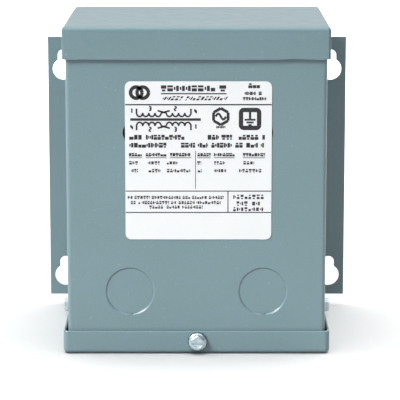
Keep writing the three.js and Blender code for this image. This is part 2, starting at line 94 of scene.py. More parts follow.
def add_softbox(name, place, aim, size, power, spread=180):
    lamp = bpy.data.lights.new(name, "AREA")
    lamp.shape = "RECTANGLE"
    lamp.size, lamp.size_y = size
    lamp.energy = power
    lamp.spread = math.radians(spread)
    holder = add_object(name, lamp)
    holder.location = place
    holder.rotation_euler = (Vector(aim) - Vector(place)).to_track_quat("-Z", "Y").to_euler()
    return holder


def link_light(name, lamps, floor, state):
    """Restricts lamps to the floor (INCLUDE) or to everything else (EXCLUDE)."""
    linked = bpy.data.collections.new(name)
    linked.objects.link(floor)
    linked.collection_objects[0].light_linking.link_state = state
    for lamp in lamps:
        lamp.light_linking.receiver_collection = linked


def make_light(floor):
    """A key from the upper left, a fill, a rim and a box overhead light the object, and three boxes whiten
    the background. The first three are kept off the floor, so that it has only soft shadows."""
    world = bpy.data.worlds.new("studio")
    bpy.context.scene.world = world
    world.use_nodes = True
    background = world.node_tree.nodes["Background"]
    background.inputs["Color"].default_value = (1.0, 1.0, 1.0, 1)
    background.inputs["Strength"].default_value = 0.1
    middle = (0, 0, 0.1)
    key = add_softbox("key", (-1.15, -1.05, 1.35), (-0.1, -0.35, 0), (1.0, 0.9), 9.5, 50)
    fill = add_softbox("fill", (0.5, -1.1, 1.4), middle, (0.9, 0.8), 5)
    add_softbox("overhead", (0, 0.1, 1.65), middle, (1.6, 0.6), 11)
    rim = add_softbox("rim", (0.95, 0.65, 1.3), (0.25, 0.1, 0), (0.9, 0.7), 18)
    add_softbox("behind", (0, 2.3, 0.75), middle, (3.4, 1.3), 7.5)
    add_softbox("background", (0, 1.55, 1.7), (0, 1.55, 0), (2.4, 1.4), 22, 70)
    wash = add_softbox("wash", (0, 0, 2), (0, 0, 0), (5, 5), 123)
    link_light("lit without the floor", (key, fill, rim), floor, "EXCLUDE")
    link_light("lit floor", (wash,), floor, "INCLUDE")
    bpy.context.scene.view_settings.view_transform = "Standard"


# --- Materials ---
class Finish:
    """A material round one Principled shader, its nodes in the piece's own coordinates."""

    def __init__(self, name, roughness, metallic=0.0, **fixed):
        self.material = bpy.data.materials.new(name)
        self.material.use_nodes = True
        self.tree = self.material.node_tree
        self.shader = self.tree.nodes["Principled BSDF"]
        self.shader.inputs["Roughness"].default_value = roughness
        self.shader.inputs["Metallic"].default_value = metallic
        for socket, value in fixed.items():
            self.shader.inputs[socket.replace("_", " ")].default_value = value
        self.place = self.add("ShaderNodeTexCoord").outputs["Object"]

    def add(self, kind, inputs=(), **settings):
        node = self.tree.nodes.new(kind)
        for key, value in settings.items():
            setattr(node, key, value)
        for socket, value in dict(inputs).items():
            if isinstance(value, bpy.types.NodeSocket):
                self.tree.links.new(value, node.inputs[socket])
            else:
                node.inputs[socket].default_value = value
        return node

    def noise(self, size, detail=3.0, stretch=(1, 1, 1)):
        """Noise whose features are about size across, drawn out along an axis by a stretch below 1."""
        moved = self.add("ShaderNodeVectorMath", {0: self.place, 1: stretch}, operation="MULTIPLY")
        wanted = {"Vector": moved.outputs[0], "Scale": 1 / size, "Detail": detail}
        return self.add("ShaderNodeTexNoise", wanted).outputs["Fac"]

    def stripes(self, period, direction):
        """Even bands across one axis."""
        wanted = {"Vector": self.place, "Scale": FULL_TURN / 20 / period}
        return self.add("ShaderNodeTexWave", wanted, bands_direction=direction).outputs["Fac"]

    def cells(self, size):
        wanted = {"Vector": self.place, "Scale": 1 / size}
        return self.add("ShaderNodeTexVoronoi", wanted).outputs["Distance"]

    def ramp(self, value, stops):
        """Colours along a value, as (position, colour) pairs. A single number is a grey."""
        node = self.add("ShaderNodeValToRGB", {"Fac": value})
        line = node.color_ramp
        for element, (position, colour) in zip(line.elements, stops):
            element.position = position
            element.color = (*colour, 1) if isinstance(colour, tuple) else (colour, colour, colour, 1)
        return node.outputs["Color"]

    def tint(self, size, dark, light, detail=3.0, ends=(0.3, 0.7)):
        """A colour that wanders between two tones, in patches about size across."""
        return self.ramp(self.noise(size, detail), zip(ends, (dark, light)))

    def blend(self, below, above, share, mode):
        node = self.add("ShaderNodeMix", {0: share, 6: below, 7: above}, data_type="RGBA", blend_type=mode)
        return node.outputs[2]

    def colour(self, source):
        self.tree.links.new(source, self.shader.inputs["Base Color"])

    def rough(self, source, low, high):
        """Roughness that follows a value between two limits."""
        wanted = {"Value": source, "To Min": low, "To Max": high}
        limited = self.add("ShaderNodeMapRange", wanted).outputs["Result"]
        self.tree.links.new(limited, self.shader.inputs["Roughness"])

    def bumps(self, *layers):
        """Stacks bump layers, each (height source, depth in metres, strength)."""
        below = None
        for height, depth, strength in layers:
            wanted = {"Height": height, "Distance": depth, "Strength": strength}
            if below:
                wanted["Normal"] = below
            below = self.add("ShaderNodeBump", wanted).outputs["Normal"]
        self.tree.links.new(below, self.shader.inputs["Normal"])


def enclosure_paint():
    """Satin blue-grey enamel: faint mottling, dust flecks, orange peel and the waviness of thin sheet."""
    finish = Finish("enclosure_paint", 0.34, IOR=1.5, Coat_Weight=0.35, Coat_Roughness=0.16)
    broad = finish.tint(60 * MM, (0.121, 0.193, 0.213), (0.127, 0.201, 0.223), 2.0)
    grain = finish.tint(0.9 * MM, 0.47, 0.53, 2.0)
    flecks = finish.tint(2.2 * MM, 0, 0.04, 0.0, (0.83, 0.88))
    finish.colour(finish.blend(finish.blend(broad, grain, 0.5, "OVERLAY"), flecks, 1.0, "ADD"))
    finish.rough(finish.noise(9 * MM), 0.29, 0.38)
    waves, peel = finish.noise(70 * MM, 1.0), finish.noise(1.4 * MM, 2.0)
    finish.bumps((waves, 0.5 * MM, 0.35), (peel, 0.02 * MM, 0.35))
    return finish.material


def label_film():
    """Off-white printed film, semi-matte, with a trace of handling."""
    finish = Finish("label_film", 0.36, IOR=1.48)
    finish.colour(finish.tint(22 * MM, (0.600, 0.615, 0.625), (0.615, 0.628, 0.637)))
    finish.rough(finish.noise(6 * MM), 0.32, 0.44)
    finish.bumps((finish.noise(28 * MM, 1.0), 0.08 * MM, 0.3), (finish.noise(0.5 * MM), 0.004 * MM, 0.3))
    return finish.material


def label_ink():
    """Black screen-print ink, a little thin in places."""
    finish = Finish("label_ink", 0.5)
    finish.colour(finish.tint(0.8 * MM, (0.006, 0.006, 0.007), (0.022, 0.022, 0.024), ends=(0.3, 0.8)))
    finish.rough(finish.noise(2 * MM), 0.42, 0.58)
    return finish.material


def plated(name, light, dark, roughness, metallic=1.0):
    """Bright plated or bare metal: cloudy tint, rubbed patches and fine scratches."""
    finish = Finish(name, roughness, metallic=metallic)
    finish.colour(finish.tint(2.5 * MM, dark, light, 4.0))
    finish.rough(finish.noise(1.2 * MM, 4.0), roughness - 0.08, roughness + 0.12)
    scratches = finish.noise(0.25 * MM, 2.0, (0.12, 1, 1))
    finish.bumps((finish.noise(1.5 * MM), 0.01 * MM, 0.2), (scratches, 0.002 * MM, 0.3))
    return finish.material


def ground_green():
    """Green lacquer over zinc, in patches of deeper and paler green."""
    finish = Finish("ground_green", 0.34, metallic=0.35, Coat_Weight=0.4, Coat_Roughness=0.15)
    finish.colour(finish.tint(1.8 * MM, (0.018, 0.16, 0.045), (0.035, 0.25, 0.08), 4.0, (0.3, 0.75)))
    finish.rough(finish.noise(1 * MM), 0.28, 0.42)
    finish.bumps((finish.noise(0.8 * MM), 0.01 * MM, 0.4))
    return finish.material


def lamination_steel():
    """Half-millimetre silicon-steel laminations, stacked along Y, with a dark oxide film."""
    finish = Finish("lamination_steel", 0.5, metallic=0.8)
    layers = finish.stripes(0.5 * MM, "Y")
    film = finish.tint(7 * MM, (0.085, 0.088, 0.095), (0.15, 0.15, 0.155), 4.0)
    gaps = finish.ramp(layers, [(0.0, 0.25), (0.35, 1)])
    finish.colour(finish.blend(film, gaps, 1.0, "MULTIPLY"))
    finish.rough(finish.noise(3 * MM), 0.42, 0.62)
    finish.bumps((layers, 0.06 * MM, 0.8))
    return finish.material


def magnet_wire():
    """Enamelled copper wire in even turns along Z, under varnish."""
    finish = Finish("magnet_wire", 0.3, metallic=0.85, Coat_Weight=0.6, Coat_Roughness=0.12)
    turns = finish.stripes(1.1 * MM, "Z")
    enamel = finish.tint(5 * MM, (0.36, 0.12, 0.045), (0.52, 0.19, 0.07))
    gaps = finish.ramp(turns, [(0.0, 0.3), (0.5, 1)])
    finish.colour(finish.blend(enamel, gaps, 1.0, "MULTIPLY"))
    finish.rough(finish.noise(2 * MM), 0.24, 0.4)
    finish.bumps((turns, 0.3 * MM, 0.9))
    return finish.material


def insulating_paper():
    """Tan aramid paper with short fibres, darkened by varnish in patches."""
    finish = Finish("insulating_paper", 0.7)
    fibres = finish.noise(0.35 * MM, 3.0, (0.3, 1, 1))
    patches = finish.tint(12 * MM, (0.42, 0.30, 0.14), (0.56, 0.43, 0.24))
    speckle = finish.ramp(fibres, [(0.3, 0.44), (0.7, 0.56)])
    finish.colour(finish.blend(patches, speckle, 0.7, "OVERLAY"))
    finish.rough(fibres, 0.6, 0.8)
    finish.bumps((fibres, 0.03 * MM, 0.6))
    return finish.material


def moulded(name, dark, light, roughness):
    """A moulded or extruded plastic with a fine grain."""
    finish = Finish(name, roughness, IOR=1.5)
    finish.colour(finish.tint(3 * MM, dark, light))
    finish.rough(finish.noise(1.5 * MM), roughness - 0.06, roughness + 0.1)
    finish.bumps((finish.noise(0.3 * MM), 0.01 * MM, 0.5))
    return finish.material


def cast_compound():
    """Dark sand-filled resin: grains of several greys in a matte binder."""
    finish = Finish("cast_compound", 0.82)
    cells = finish.cells(0.9 * MM)
    binder = finish.tint(14 * MM, 0.010, (0.020, 0.019, 0.018))
    grains = finish.ramp(cells, [(0.1, (0.07, 0.066, 0.06)), (0.45, 0)])
    finish.colour(finish.blend(binder, grains, 1.0, "ADD"))
    finish.rough(cells, 0.7, 0.92)
    finish.bumps((cells, 0.25 * MM, 0.8), (finish.noise(9 * MM), 0.6 * MM, 0.5))
    return finish.material


def studio_floor():
    finish = Finish("studio_floor", 0.9)
    finish.colour(finish.tint(0.5, 0.84, 0.86))
    return finish.material


# --- Mesh helpers ---
def mesh_object(name, bm, weld=1e-7):
    bmesh.ops.remove_doubles(bm, verts=bm.verts, dist=weld)
    bmesh.ops.dissolve_degenerate(bm, edges=bm.edges, dist=weld)
    bmesh.ops.recalc_face_normals(bm, faces=bm.faces)
    mesh = bpy.data.meshes.new(name)
    bm.to_mesh(mesh)
    bm.free()
    return add_object(name, mesh)


def combine(piece, tools, operation):
    """Cuts the tools out of a piece, or joins them to it, and leaves one plain mesh."""
    for tool in tools:
        change = piece.modifiers.new("change", "BOOLEAN")
        change.operation = operation
        change.solver = "EXACT"
        change.object = tool
    settled = bpy.data.meshes.new_from_object(piece.evaluated_get(bpy.context.evaluated_depsgraph_get()))
    piece.modifiers.clear()
    piece.data = settled
    for tool in tools:
        bpy.data.objects.remove(tool)


def add_piece(
    name, bm, slot, node=None, body="enclosure", tools=(), operation="DIFFERENCE", finish=None,
    smooth_below=40, weld=1e-7,
):
    """A piece in its slot's material or another finish, riding on its body and standing for its node."""
    piece = mesh_object(name, bm, weld)
    if tools:
        combine(piece, tools, operation)
    piece.data.shade_smooth()
    piece.data.set_sharp_from_angle(angle=math.radians(smooth_below))
    piece.modifiers.new("weighted normals", "WEIGHTED_NORMAL").keep_sharp = True
    piece.data.materials.clear()
    piece.data.materials.append(MATERIALS[finish or slot])
    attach(piece, body)
    if node:
        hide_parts(node)
    return piece


def sheet_solid(bm, lattice, present=lambda row, column: True, closed=False):
    """A closed solid from rows of (outer, inner) points, walled round missing cells and outside edges."""
    rows, columns = len(lattice), len(lattice[0])
    top, bottom = ([[bm.verts.new(pair[face]) for pair in row] for row in lattice] for face in (0, 1))
    cells = columns if closed else columns - 1

    def filled(i, j):
        if closed:
            j %= cells
        return 0 <= i < rows - 1 and 0 <= j < cells and present(i, j)

    for i in range(rows - 1):
        for j in range(cells):
            if not filled(i, j):
                continue
            k = (j + 1) % columns
            corners = [(i, j), (i, k), (i + 1, k), (i + 1, j)]
            bm.faces.new([top[a][b] for a, b in corners])
            bm.faces.new([bottom[a][b] for a, b in reversed(corners)])
            beyond = [(i - 1, j), (i, j + 1), (i + 1, j), (i, j - 1)]
            for n, side in enumerate(beyond):
                if not filled(*side):
                    (a, b), (c, d) = corners[n], corners[(n + 1) % 4]
                    bm.faces.new([top[a][b], bottom[a][b], bottom[c][d], top[c][d]])
    for vert in [v for v in bm.verts if not v.link_faces]:
        bm.verts.remove(vert)


def bevel(bm, edges, width, segments):
    bmesh.ops.bevel(
        bm, geom=edges, offset=width, segments=segments, profile=0.5, affect="EDGES", clamp_overlap=False
    )


def round_edges(bm, width, over=50, segments=2):
    """Rounds every edge where the surface turns by more than the angle given."""
    sharp = [e for e in bm.edges if e.is_manifold and e.calc_face_angle() > math.radians(over)]
    bevel(bm, sharp, width, segments)


def turned_right(direction):
    return Vector((direction.y, -direction.x))


def bridge(bm, loops):
    """A closed skin through loops of as many points, with a face on the first and on the last."""
    for below, above in zip(loops, loops[1:]):
        for k in range(len(below)):
            n = (k + 1) % len(below)
            bm.faces.new([below[k], below[n], above[n], above[k]])
    bm.faces.new(loops[0])
    bm.faces.new(loops[-1])


def quarter_round(radius, steps):
    """Pairs of distances from the two sides of a corner, through a quarter round in it."""
    angles = [QUARTER * k / steps for k in range(steps + 1)]
    return [(radius * (1 - math.sin(a)), radius * (1 - math.cos(a))) for a in angles]


def bent_section(corners, thickness, radius=BEND, steps=12):
    """Pairs of outer and inner points of a bent strip, whose outer face runs through the corners with the
    metal on its left."""
    points = [Vector(corner) for corner in corners]
    runs = [(b - a).normalized() for a, b in zip(points, points[1:])]
    pairs = [(points[0], points[0] - turned_right(runs[0]) * thickness)]
    for corner, arriving in zip(points[1:-1], runs):
        centre = corner - arriving * radius - turned_right(arriving) * radius
        for k in range(steps + 1):
            outward = turned_right(arriving)
            outward.rotate(Matrix.Rotation(QUARTER * k / steps, 2))
            pairs.append((centre + outward * radius, centre + outward * (radius - thickness)))
    return [*pairs, (points[-1], points[-1] - turned_right(runs[-1]) * thickness)]


def swept(bm, pairs, stations, to_space):
    """A bent section carried along a line through the stations."""
    sheet_solid(bm, [[(to_space(a, w), to_space(b, w)) for a, b in pairs] for w in stations])


AXES = {
    "x": lambda u, v, w: (w, u, v),
    "y": lambda u, v, w: (u, w, v),
    "z": lambda u, v, w: (u, v, w),
}


def rounded_rim(rim):
    """Depth and widening at steps through a rim rounded to a radius, from the face inwards."""
    angles = [math.radians(angle) for angle in (80, 60, 40, 20, 0)]
    return [(rim * (1 - math.sin(a)), rim * (1 - math.cos(a))) for a in angles]


def dished_rim(rim):
    """Depth and widening at steps through a rim that a punch has drawn in as a shallow cone."""
    return [(DISH * rim * k / 4, rim * (1 - k / 4)) for k in range(5)]


def cutter(outline, axis, faces, rim=RIM, reach=1.5 * MM, shape=rounded_rim):
    """A cutting tool along an axis through a sheet between two faces. outline(grow) gives its points, and
    it widens at both faces, so that the cut has shaped rims."""
    start, end = faces
    half = shape(rim)
    layers = [(start - reach, reach + half[0][1])]
    layers += [(start + depth, grow) for depth, grow in half]
    layers += [(end - depth, grow) for depth, grow in reversed(half)]
    layers += [(end + reach, reach + half[0][1])]
    bm = bmesh.new()
    loops = []
    for w, grow in layers:
        loops.append([bm.verts.new(AXES[axis](u, v, w)) for u, v in outline(grow)])
    bridge(bm, loops)
    return mesh_object("cutter", bm)


def arc(centre, radius, start, end, count):
    """Points on an arc, angles in turns."""
    made = []
    for k in range(count + 1):
        angle = FULL_TURN * (start + (end - start) * k / count)
        made.append((centre[0] + radius * math.cos(angle), centre[1] + radius * math.sin(angle)))
    return made


def circle(centre, radius, count=72):
    return lambda grow: arc(centre, radius + grow, 0, 1 - 1 / count, count - 1)


def keyhole(centre, radius, half_slot, rise):
    """A round hole with a slot upwards from it."""

    def outline(grow):
        meet = math.asin((half_slot + grow) / (radius + grow)) / FULL_TURN
        hole = arc(centre, radius + grow, 0.25 + meet, 1.25 - meet, 60)
        return hole + arc((centre[0], centre[1] + rise), half_slot + grow, 0, 0.5, 28)

    return outline


def open_slot(centre, half, top):
    """A slot with a round lower end, open at its top."""

    def outline(grow):
        reach = half + grow
        return arc(centre, reach, 0.5, 1, 28) + [(centre[0] + reach, top), (centre[0] - reach, top)]

    return outline


def turn_to(axis):
    """The rotation that takes Z to an axis."""
    return Vector((0, 0, 1)).rotation_difference(Vector(axis)).to_matrix()


def lathe(bm, profile, place, axis, sides, radius_at=None):
    """Turns a profile of (radius, height) about an axis from a point. radius_at(ring, angle, radius) gives
    the radius where it isn't round."""
    turn = turn_to(axis)
    rings = []
    for ring, (radius, height) in enumerate(profile):
        points = []
        for k in range(sides if radius > 0 else 1):
            angle = FULL_TURN * k / sides
            r = radius_at(ring, angle, radius) if radius_at and radius > 0 else radius
            point = turn @ Vector((r * math.cos(angle), r * math.sin(angle), height))
            points.append(bm.verts.new(Vector(place) + point))
        rings.append(points)
    for below, above in zip(rings, rings[1:]):
        for k in range(sides):
            n = (k + 1) % sides
            if len(below) == 1:
                bm.faces.new([below[0], above[n], above[k]])
            elif len(above) == 1:
                bm.faces.new([below[k], below[n], above[0]])
            else:
                bm.faces.new([below[k], below[n], above[n], above[k]])


def add_block(bm, low, high, edge=0.0):
    """A block between two corners, its edges rounded by edge."""
    part = bmesh.new()
    bmesh.ops.create_cube(part, size=1)
    middle, size = (Vector(low) + Vector(high)) / 2, Vector(high) - Vector(low)
    for vert in part.verts:
        vert.co = middle + Vector(a * b for a, b in zip(vert.co, size))
    if edge:
        round_edges(part, edge)
    spare = bpy.data.meshes.new("block")
    part.to_mesh(spare)
    part.free()
    bm.from_mesh(spare)
    bpy.data.meshes.remove(spare)


# --- Leads: free cords inside the wiring compartment ---
LEAD_BEND = 8 * MM  # radius
LEAD_PITCH = 4.2 * MM
FIRST_LEAD_X = 11.8 * MM
LEAD_SPACING = 6.4 * MM
LOWEST_RUN = 14 * MM
FARTHEST_RUN = 69 * MM
LEAD_TIPS = (50 * MM, 47 * MM, 44 * MM, 41 * MM)
STRIPPED = 6 * MM


def lead_route(side, k, top, y):
    """Corners of a lead's route: down, outwards and up beside the wall. Lead 0 is nearest the middle."""
    x = side * (FIRST_LEAD_X + k * LEAD_SPACING)
    run = LOWEST_RUN + k * LEAD_PITCH
    far = side * (FARTHEST_RUN - k * LEAD_PITCH)
    return [Vector((u, y, z)) for u, z in ((x, top), (x, run), (far, run), (far, LEAD_TIPS[k]))]


def rounded_route(corners, steps=8):
    """Points along the corners, each corner turned on an arc."""
    points = [corners[0]]
    for before, corner, after in zip(corners, corners[1:], corners[2:]):
        arriving, leaving = (corner - before).normalized(), (after - corner).normalized()
        centre = corner - arriving * LEAD_BEND + leaving * LEAD_BEND
        for k in range(steps + 1):
            angle = QUARTER * k / steps
            across, along = LEAD_BEND * math.cos(angle), LEAD_BEND * math.sin(angle)
            points.append(centre - leaving * across + arriving * along)
    return [*points, corners[-1]]


def add_tube(name, points, slot):
    curve = bpy.data.curves.new(name, "CURVE")
    curve.dimensions = "3D"
    curve.bevel_depth = LEAD_RADIUS
    curve.bevel_resolution = 5
    curve.use_fill_caps = True
    spline = curve.splines.new("POLY")
    spline.points.add(len(points) - 1)
    for target, point in zip(spline.points, points):
        target.co = (*point, 1)
    spline.use_smooth = True
    curve.materials.append(MATERIALS[slot])
    tube = add_object(name, curve)
    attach(tube, "enclosure")
    return tube


def add_strands(name, foot):
    """The stripped end of a lead: seven copper strands with a slight lay, cut level."""
    bm = bmesh.new()
    strand = LEAD_RADIUS * 0.26
    section = arc((0, 0), strand, 0, 1, 10)[:-1]
    for n in range(7):
        reach = 0 if n == 0 else 2 * strand
        lattice = []
        for row in range(9):
            angle = FULL_TURN * (n / 6 + 0.3 * row / 8)
            rise = (STRIPPED + MM) * row / 8 - MM
            place = foot + Vector((reach * math.cos(angle), reach * math.sin(angle), rise))
            lattice.append([(place + Vector((*point, 0)), place) for point in section])
        sheet_solid(bm, lattice, closed=True)
    return add_piece(name, bm, "magnet_wire", finish="bare_copper")


def make_leads():
    for letter, side, slot in (("h", -1, "primary_lead"), ("x", 1, "secondary_lead")):
        for k, tip in enumerate(LEAD_TIPS):
            node = f"lead_{letter}{k + 1}"
            low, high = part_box(node)
            corners = lead_route(side, k, high.z, (low.y + high.y) / 2)
            corners[-1].z = tip - STRIPPED
            points = rounded_route(corners)
            tube = add_tube(f"{node}_wire", points, slot)
            strands = add_strands(f"{node}_strands", corners[-1])
            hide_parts(node)


# --- Enclosure ---
case_low, case_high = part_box("case_shell")
cap_low, cap_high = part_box("rain_cap")
plate_low, plate_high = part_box("back_plate")
cover_low, cover_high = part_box("bottom_cover")
label_low, label_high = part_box("nameplate")
SHEET = plate_high.y - plate_low.y
REAR_FLANGE = 12 * MM
POUR_HOLE = 6.25 * MM  # radius
POUR_HOLE_SPACING = 75.5 * MM
POUR_HOLE_SHIFT = 0.9 * MM  # of the pair, to the right
POUR_HOLE_Z = 133 * MM
KEYHOLE = 6.9 * MM  # radius
KEYHOLE_SLOT = 7.2 * MM  # width
KEYHOLE_RISE = 8.9 * MM  # from the hole's centre to the slot's
KEYHOLE_SPACING = 171.7 * MM
KEYHOLE_Z = (19.6 * MM, 155.1 * MM)
DRAIN_HOLE = 2.5 * MM  # radius
DRAIN_HOLE_X = 55 * MM
DRAIN_HOLE_INSET = 14 * MM  # from the cover's front
HOLE_INSET = 0.15 * MM  # how far a knockout's hole stays inside the slug's CAD box, all round
SLUG_INSET = 0.19 * MM  # how far a slug stays inside its CAD box, all round
SLUG_DEPTH = 0.65 * MM  # how far a slug is struck in
DISHED_RIM = 1.1 * MM  # width


def middle_of(node):
    low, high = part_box(node)
    return (low + high) / 2


def screw_hole(screw, axis, faces):
    """Cuts the clearance hole for the screw of a node through a sheet between two faces."""
    x, y, z = middle_of(screw)
    centre = {"x": (y, z), "y": (x, z), "z": (x, y)}[axis]
    return cutter(circle(centre, SHANK_HOLE, 48), axis, faces)


def side_wall(side, half):
    """The two faces of the left or the right wall of a box that reaches half to either side."""
    return (-half, SHEET - half) if side == "left" else (half - SHEET, half)


def make_case():
    """Front, two sides and two rear flanges in one bent sheet."""
    half, tip = case_high.x, case_high.x - REAR_FLANGE
    front, rear = case_low.y, case_high.y
    corners = [(-tip, rear), (-half, rear), (-half, front), (half, front), (half, rear), (tip, rear)]
    bm = bmesh.new()
    swept(bm, bent_section(corners, SHEET), [case_low.z, case_high.z], lambda p, z: (p.x, p.y, z))
    round_edges(bm, EDGE)
    wall = (front, front + SHEET)
    tools = []
    for side in ("left", "right"):
        slug = middle_of(f"knockout_{side}")
        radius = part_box(f"knockout_{side}")[1].x - slug.x - HOLE_INSET
        hole = circle((slug.x, slug.z), radius, 120)
        tools.append(cutter(hole, "y", wall, DISHED_RIM, shape=dished_rim))
    for side in (-1, 1):
        centre = (POUR_HOLE_SHIFT + side * POUR_HOLE_SPACING / 2, POUR_HOLE_Z)
        tools.append(cutter(circle(centre, POUR_HOLE), "y", wall))
    screw = middle_of("cover_screw")
    notch = open_slot((screw.x, -screw.z), SHANK_HOLE, -case_low.z + 2 * MM)
    tools.append(cutter(lambda grow: [(u, -v) for u, v in notch(grow)], "y", wall))
    for side in ("left", "right"):
        tools.append(screw_hole(f"side_screw_{side}", "x", side_wall(side, half)))
    add_piece("case_sheet", bm, "enclosure_paint", "case_shell", tools=tools)


WELDS = (-60 * MM, 59 * MM)  # places of the cap's spot welds, from the middle
WELD_Z = 187.6 * MM


def bump_at(x, centre, width):
    return math.exp(-(((x - centre) / width) ** 2))


def lip_rise(x):
    """How far the front lip's lower edge is pushed up, near its right end and a little at its left."""
    return 0.45 * MM * bump_at(x, 57 * MM, 7 * MM) + 0.12 * MM * bump_at(x, -62 * MM, 9 * MM)


def weld_dimple(x, z):
    """Depth of the dimples that the spot welds leave in the front lip."""
    depth = 0.0
    for weld in WELDS:
        away = math.hypot((x - weld) * 0.75, z - WELD_Z)
        depth += 0.26 * MM * bump_at(away, 0, 2.2 * MM) - 0.08 * MM * bump_at(away, 3.6 * MM, 1.2 * MM)
    return depth


def cap_stations(half):
    """Places across the cap, from right to left, closer together round the weld dimples."""
    places = {round(half * k / 20, 6) for k in range(-19, 20)}
    for weld in WELDS:
        places |= {round(weld + 0.7 * MM * k, 6) for k in range(-8, 9)}
    return sorted(places, reverse=True)


def make_cap():
    """The rain hood: a top with a front and a rear lip folded down between two side lips."""
    turn = 13  # rows or columns of points in a bend
    below_bend = 12  # rows added down the front lip
    flat = cap_high.x - BEND  # where the side bends begin
    lip_end = case_high.x + 0.6 * MM
    tuck = SHEET + 0.1 * MM  # how far the side lips stay behind the front lip's face
    drawn_in = 1.3 * MM  # how far the side lips round in at their front edges
    end_round = 1.1 * MM  # rounding of the front lip's ends
    top, foot = cap_high.z, cap_low.z
    across, along = (
        bent_section([(high, foot), (high, top), (low, top), (low, foot)], SHEET)
        for low, high in ((cap_low.x, cap_high.x), (cap_low.y, cap_high.y))
    )
    columns = across[: turn + 1]
    for x in cap_stations(flat):
        columns.append((Vector((x, top)), Vector((x, top - SHEET))))
    last_flat = len(columns)
    columns += across[turn + 1 :]
    lip_top, lip_foot = along[-2], along[-1]
    for k in range(1, below_bend + 1):
        along.insert(-1, tuple(a.lerp(b, k / (below_bend + 1)) for a, b in zip(lip_top, lip_foot)))
    front_turn = len(along) - 1 - turn - below_bend  # the row where the front bend begins
    lattice = []
    for i, (a, b) in enumerate(along):
        row = []
        rear, front = i < turn, i > front_turn
        for j, (c, d) in enumerate(columns):
            folded = turn <= j <= last_flat and (rear or front)
            if folded:
                rise, dent = 0.0, 0.0
                if i >= len(along) - 2 - below_bend:
                    dent = weld_dimple(c.x, a.y)
                    rise = lip_rise(c.x) * (top - BEND - a.y) / (top - BEND - foot)
                x = c.x * lip_end / flat
                row.append(((x, a.x + dent, a.y + rise), (x, b.x + dent, b.y + rise)))
                continue
            y, inset = a.x, 0.0
            if rear:
                y = cap_high.y - BEND * i / turn
            elif front:
                angle = QUARTER * (i - front_turn) / (len(along) - 1 - front_turn)
                y = cap_low.y + BEND - (BEND - tuck) * math.sin(angle)
                inset = drawn_in * (1 - math.cos(angle))
            row.append(((c.x - math.copysign(inset, c.x), y, c.y), (d.x, y, d.y)))
        lattice.append(row)

    def present(i, j):
        middle_row = turn <= i < front_turn
        lip_column = j < 1 or j >= len(columns) - 2
        return middle_row or lip_column or turn <= j < last_flat

    bm = bmesh.new()
    sheet_solid(bm, lattice, present)
    ends = []
    for edge in bm.edges:
        a, b = (v.co for v in edge.verts)
        in_front = max(a.y, b.y) < cap_low.y + 0.6 * MM
        upright = abs(a.x - b.x) < 1e-6 and abs(abs(a.x) - lip_end) < 1e-6
        if in_front and upright and edge.calc_face_angle() > 1:
            ends.append(edge)
    bevel(bm, ends, end_round, 5)
    round_edges(bm, EDGE)
    add_piece("rain_cap_sheet", bm, "enclosure_paint", "rain_cap")


def make_back_plate():
    """The mounting plate, with a keyhole at each corner."""
    bm = bmesh.new()
    add_block(bm, plate_low, plate_high)
    round_edges(bm, EDGE)
    tools = []
    for side in (-1, 1):
        for z in KEYHOLE_Z:
            outline = keyhole((side * KEYHOLE_SPACING / 2, z), KEYHOLE, KEYHOLE_SLOT / 2, KEYHOLE_RISE)
            tools.append(cutter(outline, "y", (plate_low.y, plate_high.y)))
    add_piece("back_plate_sheet", bm, "enclosure_paint", "back_plate", tools=tools)


def make_cover():
    """The shallow pan under the wiring compartment, with rounded corners and a low rear lip."""
    corner, bend, edge, rear_lip = 3.2 * MM, 2.7 * MM, 0.74 * MM, 6.4 * MM
    half, front, rear = cover_high.x, cover_low.y, cover_high.y
    rear_face = plate_low.y - 0.4 * MM
    stations = []  # (corner centre, outward direction, lip height)
    for cx, cy, start in ((half, front, -0.25), (half, rear, 0), (-half, rear, 0.25), (-half, front, 0.5)):
        centre = Vector((cx - math.copysign(corner, cx), cy - math.copysign(corner, cy)))
        for point in arc((0, 0), 1, start, start + 0.25, 12):
            outward = Vector(point)
            height = rear_lip if (centre + outward * corner).y > rear_face else cover_high.z
            stations.append((centre, outward, height))
    # (inset, height above the floor, or below the lip's edge where negative)
    profile = quarter_round(bend, 8)
    profile += [(v, -u - 1e-9) for u, v in quarter_round(edge, 4)]
    profile += [(SHEET - u, -v - 1e-9) for u, v in quarter_round(edge, 4)]
    profile += [(SHEET + u, SHEET + v) for u, v in reversed(quarter_round(bend - SHEET, 8))]
    bm = bmesh.new()
    loops = []
    for inset, height in profile:
        loop = []
        for centre, outward, lip in stations:
            flat = centre + outward * (corner - inset)
            loop.append(bm.verts.new((flat.x, flat.y, lip + height if height < 0 else height)))
        loops.append(loop)
    bridge(bm, loops)
    tools = [screw_hole("cover_screw", "y", (front, front + SHEET))]
    for side in ("left", "right"):
        screw = middle_of(f"side_screw_{side}")
        slot = open_slot((screw.y, screw.z), SHANK_HOLE, cover_high.z + MM)
        tools.append(cutter(slot, "x", side_wall(side, half), 0.25 * MM))
    for side in (-1, 1):
        drain = circle((side * DRAIN_HOLE_X, front + DRAIN_HOLE_INSET), DRAIN_HOLE, 48)
        tools.append(cutter(drain, "z", (0, SHEET)))
    add_piece("bottom_cover_pan", bm, "enclosure_paint", "bottom_cover", "bottom_cover", tools)


